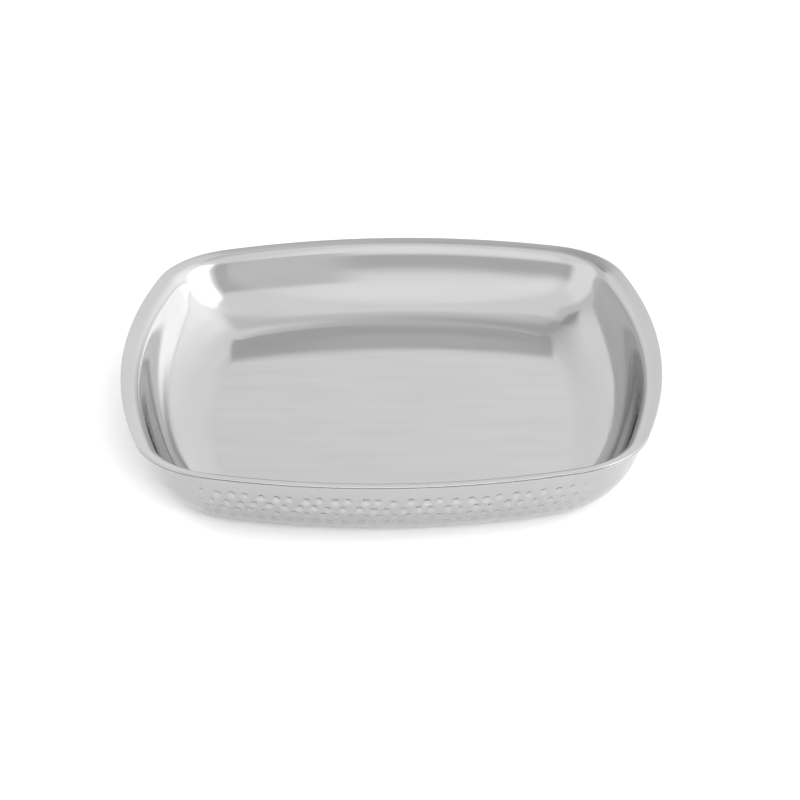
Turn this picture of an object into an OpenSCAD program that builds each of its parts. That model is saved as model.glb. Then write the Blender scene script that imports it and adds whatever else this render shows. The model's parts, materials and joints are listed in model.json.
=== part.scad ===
// Double-wall seafood tray: a polished inner tray and an outer shell, both drawn from
// stainless sheet to one rounded-square plan, joined by a seam weld under the rim.
// Millimetres. +Z is up and the origin is the middle of the base, on the table.
// Every arc of the plan is tangent to the next, so a section swept round them is one smooth wall.

/* [Overall] */
// Width across the rim, the same both ways
tray_w = 305; // [250:1:420]
// Height from the table to the top of the rim
tray_h = 47.5; // [38:0.5:62]

/* [Plan] */
// Radius of the tightest corners in either shell, where its wall runs out into the floor or the base
tight_corner_r = 3.8; // [3:0.1:30]
// Half of the angle that each bowed side turns through
side_turn = 16; // [9:1:24]

/* [Sheet] */
// Thickness of the steel sheet of both shells
sheet_t = 0.8; // [0.5:0.1:1.2]

/* [Inner tray] */
// Clear height of the cavity between the base panel and the floor
cavity_h = 7.3; // [4:0.1:9]
// Width of the sloping rim
rim_w = 8.7; // [7:0.1:10.5]
// Slope of the rim, falling inwards
rim_slope = 12; // [8:1:20]
// Radius of the crown where the rim turns down into the wall
rim_bend_r = 10; // [4:0.5:12]
// Lean of the wall from upright
wall_lean = 21; // [16:0.5:28]
// Radius between the wall and the floor
floor_r = 40; // [28:0.5:42]

/* [Outer shell] */
// Width of the narrow turned-out flange under the rim
flange_w = 1.3; // [1.2:0.1:2]
// Radius where that flange turns down into the wall
flange_bend_r = 0.5; // [0.3:0.1:0.7]
// Lean of the hammered wall from upright
shell_lean = 22; // [18:0.5:28]
// Radius between the wall and the base
base_r = 46; // [30:0.5:48]
// Width of the flat band that the tray stands on, at the middle of a side
foot_w = 7; // [4:0.5:12]
// Radius of the corners of the recess inside that band
recess_corner_r = 40; // [20:1:60]
// Height of the base panel above the table
panel_rise = 1.1; // [0.8:0.1:2]
// Radius of both bends of the step up to the base panel
step_r = 2; // [1.4:0.1:2.5]
// Slope of that step
step_slope = 30; // [20:1:40]

/* [Seam and vent] */
// Thickness of the weld between the rim and the flange
seam_t = 0.4; // [0.2:0.1:0.8]
// Set-back of the flange from the edge of the rim, and of the weld from the flange
seam_set = 0.3; // [0.1:0.1:0.5]
// Width of the weld
seam_w = 0.5; // [0.3:0.1:0.6]
// Radius of the vent hole in the base panel
vent_r = 2.5; // [1.5:0.1:4]
// Clearance round the shank of the vent plug
vent_gap = 0.03; // [0.01:0.01:0.1]
// Radius of the head of the vent plug
plug_head_r = 4.5; // [4.2:0.1:8]
// Thickness of the head of the vent plug
plug_head_t = 0.6; // [0.3:0.1:0.7]
// Length of the shank that stands through the base panel
plug_reach = 1.2; // [0.6:0.1:2]

/* [Hidden] */
$fn = 180;
// Largest turn of one chord of a bend, in degrees
bend_step = 4.6;
// Chords round the rolled edge of a sheet, and along one arc of a flat panel
edge_steps = 8;
panel_steps = 6;
// Width over which a flat panel laps the sheet that is swept round it
panel_lap = 2;
// Least straight stretch between two bends of a section
least_flat = 0.5;
polished = "gainsboro";
hammered = "silver";
dull = "dimgray";

function heading(angle) = [cos(angle), sin(angle)];
function left_of(v) = [-v[1], v[0]];
function unit(v) = v / norm(v);
function backwards(list) = [for (i = [len(list) - 1 : -1 : 0]) list[i]];

// A plan is eight tangent arcs: even ones are the sides, odd ones the corners. Each arc is its
// centre, its radius, the heading of its middle and half of the angle that it turns through.
function plan_arcs(half_w, corner_r) =
    let (
        bow = cos(side_turn) - sin(side_turn),
        side_r = (half_w - corner_r * bow) / (1 - bow),
        corner_at = (side_r - corner_r) * sin(side_turn) * sqrt(2)
    )
    [for (k = [0 : 7])
        k % 2 == 0
        ? [(half_w - side_r) * heading(45 * k), side_r, 45 * k, side_turn]
        : [corner_at * heading(45 * k), corner_r, 45 * k, 45 - side_turn]];

// A section is a path of corners in [-inset, height], where inset is measured in from the edge
// of the rim, with the radius of the bend at each corner.
inward = [-1, 0];
down_rim = -heading(rim_slope);
down_wall = -heading(90 - wall_lean);
down_shell = -heading(90 - shell_lean);

// Upper face of the inner tray, from the edge of the rim to the floor
rim_edge = [-sheet_t / 2 * (1 + sin(rim_slope)), tray_h - sheet_t / 2 * (1 - cos(rim_slope))];
floor_z = panel_rise + sheet_t + cavity_h + sheet_t;
rim_corner = rim_edge + down_rim * rim_w / cos(rim_slope);
floor_corner = rim_corner + down_wall * (rim_corner[1] - floor_z) / cos(wall_lean);
// The bend to the floor takes no more of the wall than the crown of the rim leaves
rim_reach = rim_bend_r * tan(45 - (wall_lean + rim_slope) / 2);
wall_left = norm(floor_corner - rim_corner) - rim_reach - least_flat;
floor_reach = min(floor_r * tan(45 - wall_lean / 2), wall_left);
floor_bend_r = floor_reach / tan(45 - wall_lean / 2);
floor_inset = floor_reach - floor_corner[0];
floor_edge = [-floor_inset - panel_lap, floor_z];
tray_path = [rim_edge, rim_corner, floor_corner, floor_edge];
tray_bends = [0, rim_bend_r, floor_bend_r, 0];

// A point below the upper face of the rim, measured square to it, and set back from its edge
function below_rim(depth, set_back) =
    rim_edge - [set_back, set_back * tan(rim_slope) + depth / cos(rim_slope)];

// Outer face of the outer shell, from the edge of its flange to the base
flange_edge = below_rim(2 * sheet_t + seam_t, seam_set - sheet_t * sin(rim_slope));
flange_corner = flange_edge + down_rim * flange_w;
base_corner = flange_corner + down_shell * flange_corner[1] / cos(shell_lean);
base_inset = base_r * tan(45 - shell_lean / 2) - base_corner[0];
base_edge = [-base_inset - panel_lap, 0];
shell_path = [flange_edge, flange_corner, base_corner, base_edge];
shell_bends = [0, flange_bend_r, base_r, 0];

// Step from the foot band up to the base panel, where inset is measured in from the edge of the recess
step_reach = step_r * tan(step_slope / 2);
step_foot = [-step_reach, 0];
step_head = step_foot + [-panel_rise / tan(step_slope), panel_rise];
recess_path = [[panel_lap, 0], step_foot, step_head, step_head + inward * (step_reach + panel_lap)];
recess_bends = [0, step_r, step_r, 0];

// The corners of the rim follow from the tightest inside both shells
rim_plan = plan_arcs(tray_w / 2, tight_corner_r + max(floor_inset, base_inset));
recess_plan = plan_arcs(tray_w / 2 - base_inset - foot_w, recess_corner_r);

// Points round the bend at corner k of a path, for a face that is off to its left
function bend_line(path, bends, k, off) =
    let (
        before = unit(path[k] - path[k - 1]),
        after = unit(path[k + 1] - path[k]),
        turn = atan2(cross(before, after), before * after),
        to_centre = sign(turn) * left_of(before),
        centre = path[k] + bends[k] * (to_centre - before * tan(abs(turn) / 2)),
        first = atan2(-to_centre[1], -to_centre[0]),
        r = bends[k] - sign(turn) * off,
        steps = ceil(abs(turn) / bend_step)
    )
    [for (i = [0 : steps]) centre + r * heading(first + turn * i / steps)];

// Points of a whole face, off to the left of its path
function face_line(path, bends, off) =
    let (last = len(path) - 1)
    concat(
        [path[0] + off * left_of(unit(path[1] - path[0]))],
        [for (k = [1 : last - 1]) each bend_line(path, bends, k, off)],
        [path[last] + off * left_of(unit(path[last] - path[last - 1]))]
    );

// Points round the rolled edge where a path starts, from its far face back to the path
function edge_line(path, off) =
    let (
        along = unit(path[1] - path[0]),
        middle = path[0] + off / 2 * left_of(along)
    )
    [for (i = [1 : edge_steps - 1])
        let (turn = 180 * i / edge_steps)
        middle + off / 2 * (cos(turn) * left_of(along) - abs(off) / off * sin(turn) * along)];

// Section of a sheet on a path, as thick as off, to the left of it or to the right if off is negative
module sheet_section(path, bends, off, rolled = true) {
    polygon(concat(
        face_line(path, bends, 0),
        backwards(face_line(path, bends, off)),
        rolled ? edge_line(path, off) : []
    ));
}

// Places its children in three steps, each a short number, so that no digit of the place is lost
module place(at) {
    whole = [for (v = at) round(v)];
    part = [for (v = at - whole) round(v * 10000) / 10000];
    translate(whole) translate(part) translate(at - whole - part) children();
}

// Sweeps a section round a plan
module swept(plan) {
    for (arc = plan)
        place(arc[0])
        rotate_extrude(angle = 2 * arc[3], start = arc[2] - arc[3])
        place([arc[1], 0]) children();
}

// Flat panel of sheet inside a plan, taken in from it by an inset
module panel(plan, inset, z) {
    outline = [for (arc = plan, i = [0 : panel_steps - 1])
        arc[0] + (arc[1] - inset) * heading(arc[2] + arc[3] * (2 * i / panel_steps - 1))];
    translate([0, 0, z]) linear_extrude(sheet_t) polygon(outline);
}

module inner_tray() {
    color(polished) {
        swept(rim_plan) sheet_section(tray_path, tray_bends, sheet_t);
        panel(rim_plan, floor_inset + panel_lap / 2, floor_z - sheet_t);
    }
}

module outer_shell() {
    color(hammered) {
        swept(rim_plan) sheet_section(shell_path, shell_bends, -sheet_t);
        difference() {
            panel(rim_plan, base_inset + panel_lap / 2, 0);
            panel(recess_plan, -panel_lap / 2, 0);
        }
        swept(recess_plan) sheet_section(recess_path, recess_bends, -sheet_t, false);
        difference() {
            panel(recess_plan, -recess_path[3][0] - panel_lap / 2, panel_rise);
            cylinder(r = vent_r, h = 2 * (panel_rise + sheet_t));
        }
    }
}

// Weld metal between the underside of the rim and the flange of the outer shell
module rim_weld() {
    start = below_rim(sheet_t, 2 * seam_set);
    end = start + down_rim * seam_w;
    across = left_of(down_rim) * seam_t;
    color(dull) swept(rim_plan) polygon([start, end, end + across, start + across]);
}

// Closes the vent that lets hot air out of the cavity while the rim is welded
module vent_plug() {
    color(dull) {
        translate([0, 0, panel_rise - plug_head_t]) cylinder(r = plug_head_r, h = plug_head_t);
        translate([0, 0, panel_rise - plug_head_t / 2])
            cylinder(r = vent_r - vent_gap, h = plug_head_t / 2 + sheet_t + plug_reach);
    }
}

inner_tray();
outer_shell();
rim_weld();
vent_plug();
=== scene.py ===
"""Looks of a double-wall seafood tray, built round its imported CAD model.

The polished inner tray and the hammered outer shell are lofted from the plan and the sections that the
CAD model has, the hammer marks are real dents, and a pale studio stands round them. Lengths are in metres
and angles in degrees unless a name or a docstring says otherwise. The frame is the CAD model's: +Z is up,
and the origin is the middle of the base, on the table.
"""

import json
import logging
import math
from dataclasses import dataclass, field, replace
from enum import Enum
from functools import cached_property

import bpy
import numpy as np
from mathutils import Matrix, Vector

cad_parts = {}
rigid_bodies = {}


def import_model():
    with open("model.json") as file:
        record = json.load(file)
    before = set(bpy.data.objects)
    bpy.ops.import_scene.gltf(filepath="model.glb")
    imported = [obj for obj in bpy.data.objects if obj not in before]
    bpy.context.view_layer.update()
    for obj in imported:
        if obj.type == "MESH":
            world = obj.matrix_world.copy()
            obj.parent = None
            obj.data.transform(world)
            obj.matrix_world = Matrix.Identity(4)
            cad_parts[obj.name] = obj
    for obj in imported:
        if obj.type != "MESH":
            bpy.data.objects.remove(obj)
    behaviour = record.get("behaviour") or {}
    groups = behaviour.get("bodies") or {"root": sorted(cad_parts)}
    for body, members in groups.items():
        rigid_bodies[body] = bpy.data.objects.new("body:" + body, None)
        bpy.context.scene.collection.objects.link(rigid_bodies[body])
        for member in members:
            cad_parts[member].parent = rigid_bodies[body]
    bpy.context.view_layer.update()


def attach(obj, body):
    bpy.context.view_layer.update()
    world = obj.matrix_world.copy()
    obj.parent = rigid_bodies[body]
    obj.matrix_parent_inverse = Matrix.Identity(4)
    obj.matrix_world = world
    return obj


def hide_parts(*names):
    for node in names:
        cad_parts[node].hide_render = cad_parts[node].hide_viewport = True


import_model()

MM = 0.001
BODY = "root"
IMAGE_PX = 800
SENSOR_WIDTH_MM = 36.0
POLISH_MAP = "polish_map"
MATHS = "ShaderNodeMath"
RANDOM = "FunctionNodeRandomValue"
CARRIED = "GeometryNodeInputNamedAttribute"
# Shortest straight stretch of a section that is drawn between two bends
SAME_POINT = 1e-9
# Bend between two faces, in radians, from which their edge is shaded as a sharp one
SHARP_EDGE = math.radians(40)
# Turned copies of a plan whose mean eases its sides into its corners
EASE_STEPS = 25
# Length of one ring of the wave texture at a scale of 1
WAVE_LENGTH = math.pi / 10

log = logging.getLogger("seafood_tray")


class Node(Enum):
    """CAD nodes that the pieces stand for."""

    INNER_TRAY = "inner_tray"
    OUTER_SHELL = "outer_shell"
    RIM_WELD = "rim_weld"
    VENT_PLUG = "vent_plug"


class Slot(Enum):
    """Material slots of the record."""

    POLISHED = "polished_steel"
    HAMMERED = "hammered_steel"
    WELD = "weld_metal"
    PLUG = "plug_steel"


class Mark(Enum):
    """Attributes that a mesh carries for the hammer marks."""

    ALONG = "along"
    DOWN = "down"
    HAMMER = "hammer"


def heading(angle: float) -> np.ndarray:
    """Unit vector at an angle from the first axis of a plane."""
    return np.array([math.cos(math.radians(angle)), math.sin(math.radians(angle))])


def smooth_step(value: np.ndarray | float, start: float, end: float) -> np.ndarray:
    """Eased ramp from 0 at start to 1 at end, which may be the lower of the two."""
    share = np.clip((np.asarray(value, float) - start) / (end - start), 0.0, 1.0)
    return share * share * (3.0 - 2.0 * share)


def circle(turns: np.ndarray, radius: float, height: float) -> np.ndarray:
    """Points of a level circle at angles in radians."""
    return np.column_stack([np.cos(turns) * radius, np.sin(turns) * radius, np.full(len(turns), height)])


def linear(colour: str) -> tuple[float, float, float, float]:
    """Linear RGBA of an sRGB hex colour.

    Args:
        colour: Six hex digits after a hash.

    Returns:
        The four linear channels, opaque.
    """
    shares = [int(colour[start:start + 2], 16) / 255 for start in (1, 3, 5)]
    # The numbers are those of the sRGB standard's own curve
    red, green, blue = (share / 12.92 if share <= 0.04045 else ((share + 0.055) / 1.055) ** 2.4
                        for share in shares)
    return red, green, blue, 1.0


def add_node(tree: bpy.types.NodeTree, kind: str, inputs: dict | None = None, **settings) -> bpy.types.Node:
    """Adds a node with its settings, and sets or links its inputs.

    Args:
        tree: Tree that takes the node.
        kind: Type name of the node.
        inputs: A value, or a socket to link from, for each input by its number, identifier or name.
        **settings: Properties of the node itself.

    Returns:
        The new node.
    """
    node = tree.nodes.new(kind)
    for name, value in settings.items():
        setattr(node, name, value)
    for key, value in (inputs or {}).items():
        found = next(socket for number, socket in enumerate(node.inputs)
                     if key in (number, socket.identifier, socket.name))
        if isinstance(value, bpy.types.NodeSocket):
            tree.links.new(value, found)
        else:
            found.default_value = value
    return node


@dataclass(frozen=True)
class Stretch:
    """Straight or bent stretch of a section line.

    Attributes:
        start: Distance along the line at which it starts.
        length: Its length.
        point: Its first point, as (-inset, height).
        angle: Its direction there, in radians.
        curve: Its turn for each metre, in radians, positive to the left.
    """

    start: float
    length: float
    point: np.ndarray
    angle: float
    curve: float

    def at(self, distance: float, off: float) -> np.ndarray:
        """Point beside the stretch.

        Args:
            distance: Distance of the point along the whole line.
            off: Distance of the point to the left of it.

        Returns:
            The point, as (-inset, height).
        """
        run = distance - self.start
        turned = self.angle + self.curve * run
        left = np.array([-math.sin(turned), math.cos(turned)])
        if self.curve:
            first = np.array([-math.sin(self.angle), math.cos(self.angle)])
            return self.point + (first - left) / self.curve + off * left
        return self.point + run * np.array([math.cos(turned), math.sin(turned)]) + off * left


class SectionLine:
    """Face of a sheet in section: straight between corners that are bent to a radius."""

    def __init__(self, corners: list[np.ndarray], radii: list[float]) -> None:
        """Lays the stretches end to end.

        Args:
            corners: Ends and corners of the line, as (-inset, height).
            radii: Radius of the bend at each corner between the ends.
        """
        self.stretches: list[Stretch] = []
        self.length = 0.0
        here = corners[0]
        for before, corner, after, radius in zip(corners, corners[1:], corners[2:], radii):
            way_in = (corner - before) / np.linalg.norm(corner - before)
            way_out = (after - corner) / np.linalg.norm(after - corner)
            across = way_in[0] * way_out[1] - way_in[1] * way_out[0]
            turn = math.atan2(across, float(way_in @ way_out))
            reach = radius * math.tan(abs(turn) / 2)
            bend_start = corner - reach * way_in
            self._lay(here, bend_start - here, float(np.linalg.norm(bend_start - here)), 0.0)
            self._lay(bend_start, way_in, radius * abs(turn), math.copysign(1 / radius, turn))
            here = corner + reach * way_out
        self._lay(here, corners[-1] - here, float(np.linalg.norm(corners[-1] - here)), 0.0)

    def _lay(self, first: np.ndarray, way: np.ndarray, length: float, curve: float) -> None:
        """Adds a stretch, unless one bend runs into the next there.

        Args:
            first: Its first point.
            way: Its direction there, of any length.
            length: Its length.
            curve: Its turn for each metre, in radians.
        """
        if length > SAME_POINT:
            self.stretches.append(Stretch(self.length, length, first, math.atan2(way[1], way[0]), curve))
            self.length += length

    def stations(self, step: float, bend_step: float) -> np.ndarray:
        """Distances at which the line is cut into rows.

        Args:
            step: Longest row.
            bend_step: Largest turn of a row.

        Returns:
            Distances from the start of the line to its end.
        """
        cuts = [0.0]
        for stretch in self.stretches:
            turn = abs(math.degrees(stretch.curve * stretch.length))
            rows = max(1, math.ceil(stretch.length / step), math.ceil(turn / bend_step))
            cuts.extend(stretch.start + stretch.length * (row + 1) / rows for row in range(rows))
        return np.array(cuts)

    def points(self, stations: np.ndarray, off: np.ndarray | float = 0.0) -> np.ndarray:
        """Points at distances along the line.

        Args:
            stations: Distances from its start.
            off: Distance of the points to the left of it, one for all or one for each.

        Returns:
            One (-inset, height) for each station.
        """
        found = []
        last = self.stretches[-1]
        for distance, shift in zip(stations, np.broadcast_to(off, np.shape(stations))):
            stretch = next((each for each in self.stretches if distance <= each.start + each.length), last)
            found.append(stretch.at(distance, shift))
        return np.array(found)

    @property
    def end(self) -> np.ndarray:
        """Last point of the line."""
        return self.points(np.array([self.length]))[0]

    def rolled_edge(self, off: float, steps: int) -> np.ndarray:
        """Points round the rounded edge where the line starts, from the far face towards the line.

        Args:
            off: Thickness of the sheet, positive to the left of the line.
            steps: Chords round the edge.

        Returns:
            The points between the two faces.
        """
        way = self.stretches[0].angle
        along = np.array([math.cos(way), math.sin(way)])
        left = np.array([-along[1], along[0]])
        turns = np.pi * np.arange(1, steps)[:, None] / steps
        middle = self.stretches[0].point + off / 2 * left
        return middle + off / 2 * np.cos(turns) * left - abs(off) / 2 * np.sin(turns) * along


@dataclass(frozen=True)
class Plan:
    """Rounded square of eight tangent arcs, four bowed sides and four corners.

    Attributes:
        half_width: Half of its width at the middle of the sides.
        corner_radius: Radius of its corners.
        side_turn: Half of the angle that a side turns through.
        corner_share: Part of an inset that its corners lose. Below 1 the wall leans more at the corners
            than on the sides, as it does in deep-drawn sheet.
        ease: Half of the angle over which a side runs into a corner, where the easing is full.
        ease_insets: Insets at which the easing starts and is full.
    """

    half_width: float
    corner_radius: float
    side_turn: float
    corner_share: float = 1.0
    ease: float = 0.0
    ease_insets: tuple[float, float] = (6 * MM, 30 * MM)

    @property
    def side_radius(self) -> float:
        """Radius of the bowed sides."""
        bow = heading(self.side_turn) @ np.array([1.0, -1.0])
        return (self.half_width - self.corner_radius * bow) / (1 - bow)

    def taken_in(self, inset: float) -> "Plan":
        """The plan of a row that lies an inset in from the edge."""
        corner_radius = self.corner_radius - self.corner_share * inset
        return replace(self, half_width=self.half_width - inset, corner_radius=corner_radius)

    def arcs(self, headings: np.ndarray) -> np.ndarray:
        """Points of the eight arcs.

        Args:
            headings: Heading that the edge faces at each point, in radians.

        Returns:
            One point of the plane for each heading.
        """
        side = np.round(headings / (np.pi / 2)) * (np.pi / 2)
        off_side = headings - side
        on_side = np.abs(off_side) <= math.radians(self.side_turn)
        corner_at = (self.side_radius - self.corner_radius) * heading(self.side_turn)[1] * math.sqrt(2)
        centre_way = np.where(on_side, side, side + np.sign(off_side) * np.pi / 4)
        centre_at = np.where(on_side, self.half_width - self.side_radius, corner_at)
        reach = np.where(on_side, self.side_radius, self.corner_radius)
        across = centre_at * np.cos(centre_way) + reach * np.cos(headings)
        deep = centre_at * np.sin(centre_way) + reach * np.sin(headings)
        return np.column_stack([across, deep])

    def ring(self, headings: np.ndarray, inset: float, height: float) -> np.ndarray:
        """Points of the plan, taken in from its edge and eased.

        The easing is the mean of copies of the plan that are turned a little either way, which is wider
        than the plan itself, so that it is taken in again by what it gained.

        Args:
            headings: Heading that the edge faces at each point, in radians.
            inset: Distance in from the edge.
            height: Height of all the points.

        Returns:
            One point for each heading.
        """
        row = self.taken_in(inset)
        faced = np.append(headings, 0.0)
        ease = math.radians(self.ease) * float(smooth_step(inset, *self.ease_insets))
        turned_back = []
        for turn in ease * np.linspace(-1.0, 1.0, EASE_STEPS):
            cosine, sine = math.cos(turn), math.sin(turn)
            turned_back.append(row.arcs(faced + turn) @ np.array([[cosine, -sine], [sine, cosine]]))
        eased = np.mean(turned_back, axis=0)
        gained = eased[-1, 0] - row.half_width
        flat = eased[:-1] - gained * np.column_stack([np.cos(headings), np.sin(headings)])
        return np.column_stack([flat, np.full(len(headings), height)])


@dataclass(frozen=True)
class Columns:
    """Columns of a mesh round a plan, which start at a corner.

    Attributes:
        headings: Heading of each column, in radians.
        along: Distance of each round the edge, and the whole way round as the last.
    """

    headings: np.ndarray
    along: np.ndarray

    @classmethod
    def on(cls, plan: Plan, per_side: int, per_corner: int) -> "Columns":
        """Columns on the arcs of a plan.

        Args:
            plan: The plan.
            per_side: Columns on each side.
            per_corner: Columns on each corner, an even number.

        Returns:
            The columns, all the way round.
        """
        half = np.linspace(plan.side_turn, 45, per_corner // 2, endpoint=False)
        side = np.linspace(-plan.side_turn, plan.side_turn, per_side, endpoint=False)
        quarter = np.concatenate([half - 45 - plan.side_turn, side, half])
        headings = np.radians(np.concatenate([quarter + turn for turn in (0, 90, 180, 270)]))
        edge = plan.ring(headings, 0.0, 0.0)
        steps = np.linalg.norm(np.roll(edge, -1, axis=0) - edge, axis=1)
        return cls(headings, np.concatenate([[0.0], np.cumsum(steps)]))

    def thinned(self, share: int) -> "Columns":
        """Every so many of the columns."""
        return Columns(self.headings[::share], self.along[::share])

    def off_middle(self) -> np.ndarray:
        """Distance of each column from the middle of the side that it is on, round the edge."""
        quarter = self.along[-1] / 4
        return np.abs(self.along[:-1] % quarter - quarter / 2)


@dataclass(frozen=True)
class TraySizes:
    """Driving sizes of the tray, as the CAD model has them, and the lines that follow from them.

    Attributes:
        width: Width across the rim.
        height: Height to the top of the rim.
        tight_corner_radius: Radius of the tightest corners in either shell.
        side_turn: Half of the angle that a bowed side turns through.
        sheet: Thickness of the sheet of both shells.
        cavity: Clear height between the base panel and the floor.
        rim_width: Width of the sloping rim.
        rim_slope: Slope of the rim.
        rim_bend_radius: Radius of the crown where the rim turns down into the wall.
        wall_lean: Lean of the inner wall from upright.
        floor_radius: Radius between that wall and the floor.
        floor_ease: Half of the angle over which the sides of the inner tray run into its corners low down,
            which is 0 in the CAD model.
        flange_width: Width of the flange under the rim.
        flange_bend_radius: Radius where the flange turns down into the wall.
        shell_lean: Lean of the hammered wall from upright.
        shell_corner_share: Part of an inset that the shell's corners lose, which is 1 in the CAD model.
        base_radius: Radius between that wall and the base.
        foot_width: Width of the flat band that the tray stands on.
        recess_corner_radius: Radius of the corners of the recess inside that band.
        panel_rise: Height of the base panel above the table.
        step_radius: Radius of both bends of the step up to that panel.
        step_slope: Slope of that step.
        seam: Thickness of the weld.
        seam_set_back: Set-back of the flange from the edge of the rim, and of the weld from the flange.
        seam_width: Width of the weld.
        vent_radius: Radius of the vent.
        vent_clearance: Clearance round the shank of the vent plug.
        plug_head_radius: Radius of the head of that plug.
        plug_head: Thickness of its head.
        plug_reach: Length of its shank above the base panel.
        lap: Width of the flat strip that a section ends in.
    """

    width: float = 305 * MM
    height: float = 47.5 * MM
    tight_corner_radius: float = 3.8 * MM
    side_turn: float = 16.0
    sheet: float = 0.8 * MM
    cavity: float = 7.3 * MM
    rim_width: float = 8.7 * MM
    rim_slope: float = 12.0
    rim_bend_radius: float = 10 * MM
    wall_lean: float = 21.0
    floor_radius: float = 40 * MM
    floor_ease: float = 13.0
    flange_width: float = 1.3 * MM
    flange_bend_radius: float = 0.5 * MM
    shell_lean: float = 22.0
    shell_corner_share: float = 0.75
    base_radius: float = 46 * MM
    foot_width: float = 7 * MM
    recess_corner_radius: float = 40 * MM
    panel_rise: float = 1.1 * MM
    step_radius: float = 2 * MM
    step_slope: float = 30.0
    seam: float = 0.4 * MM
    seam_set_back: float = 0.3 * MM
    seam_width: float = 0.5 * MM
    vent_radius: float = 2.5 * MM
    vent_clearance: float = 0.03 * MM
    plug_head_radius: float = 4.5 * MM
    plug_head: float = 0.6 * MM
    plug_reach: float = 1.2 * MM
    lap: float = 0.6 * MM

    @property
    def floor_height(self) -> float:
        """Height of the floor's upper face."""
        return self.panel_rise + self.sheet + self.cavity + self.sheet

    @property
    def down_rim(self) -> np.ndarray:
        """Direction down the rim, in section."""
        return -heading(self.rim_slope)

    @cached_property
    def rim_edge(self) -> np.ndarray:
        """First point of the rim's upper face, inside its rounded edge."""
        slope = heading(self.rim_slope)
        return np.array([-self.sheet / 2 * (1 + slope[1]), self.height - self.sheet / 2 * (1 - slope[0])])

    def below_rim(self, depth: float, set_back: float) -> np.ndarray:
        """Point below the rim's upper face, measured square to it, and set back from its edge."""
        slope = math.radians(self.rim_slope)
        return self.rim_edge - np.array([set_back, set_back * math.tan(slope) + depth / math.cos(slope)])

    @property
    def floor_reach(self) -> float:
        """Length of the wall, and of the floor, that the bend between them takes."""
        return self.floor_radius * math.tan(math.radians(45 - self.wall_lean / 2))

    @cached_property
    def tray_line(self) -> SectionLine:
        """Upper face of the inner tray.

        Returns:
            The line from the edge of the rim to the flat floor.
        """
        down_wall = -heading(90 - self.wall_lean)
        rim_corner = self.rim_edge + self.down_rim * self.rim_width / -self.down_rim[0]
        floor_corner = rim_corner + down_wall * (rim_corner[1] - self.floor_height) / -down_wall[1]
        floor_end = np.array([floor_corner[0] - self.floor_reach - self.lap, self.floor_height])
        return SectionLine([self.rim_edge, rim_corner, floor_corner, floor_end],
                           [self.rim_bend_radius, self.floor_radius])

    @cached_property
    def shell_line(self) -> SectionLine:
        """Outer face of the outer shell.

        Returns:
            The line from the edge of its flange to the flat base.
        """
        down_shell = -heading(90 - self.shell_lean)
        hidden = self.sheet * heading(self.rim_slope)[1]
        flange_edge = self.below_rim(2 * self.sheet + self.seam, self.seam_set_back - hidden)
        flange_corner = flange_edge + self.down_rim * self.flange_width
        base_corner = flange_corner + down_shell * flange_corner[1] / -down_shell[1]
        base_reach = self.base_radius * math.tan(math.radians(45 - self.shell_lean / 2))
        base_end = np.array([base_corner[0] - base_reach, 0.0])
        return SectionLine([flange_edge, flange_corner, base_corner, base_end],
                           [self.flange_bend_radius, self.base_radius])

    @cached_property
    def recess_line(self) -> SectionLine:
        """Step from the foot band up to the base panel.

        Returns:
            The line, with insets from the edge of the recess.
        """
        slope = math.radians(self.step_slope)
        reach = self.step_radius * math.tan(slope / 2)
        foot = np.array([-reach, 0.0])
        head = foot + np.array([-self.panel_rise / math.tan(slope), self.panel_rise])
        return SectionLine([np.zeros(2), foot, head, head - np.array([reach + self.lap, 0.0])],
                           [self.step_radius, self.step_radius])

    @property
    def base_inset(self) -> float:
        """Inset at which the flat base starts."""
        return -float(self.shell_line.end[0])

    @cached_property
    def rim_plan(self) -> Plan:
        """Plan of the rim.

        Returns:
            The plan, whose corners follow from the tightest inside both shells.
        """
        floor_inset = -float(self.tray_line.end[0]) - self.lap
        corner_radius = self.tight_corner_radius + max(floor_inset, self.base_inset)
        return Plan(self.width / 2, corner_radius, self.side_turn)

    @cached_property
    def tray_plan(self) -> Plan:
        """Plan of the inner tray, which is that of the rim at the top and is eased below."""
        return replace(self.rim_plan, ease=self.floor_ease)

    @cached_property
    def shell_plan(self) -> Plan:
        """Plan of the outer shell, which is that of the rim at the top and has rounder corners below."""
        return replace(self.rim_plan, corner_share=self.shell_corner_share)

    @cached_property
    def recess_plan(self) -> Plan:
        """Plan of the recess inside the foot band."""
        half = self.width / 2 - self.base_inset - self.foot_width
        return Plan(half, self.recess_corner_radius, self.side_turn)


@dataclass(frozen=True)
class Ring:
    """Closed row of a mesh.

    Attributes:
        ids: Its vertices.
        along: Map place of each along the row, and of the first again at the end.
        down: Map place of the row.
    """

    ids: np.ndarray
    along: np.ndarray
    down: float

    def corner(self, index: int) -> tuple[int, tuple[float, float]]:
        """Vertex and map place at an index, which may be one past the last."""
        return int(self.ids[index % len(self.ids)]), (float(self.along[index]), self.down)


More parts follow.
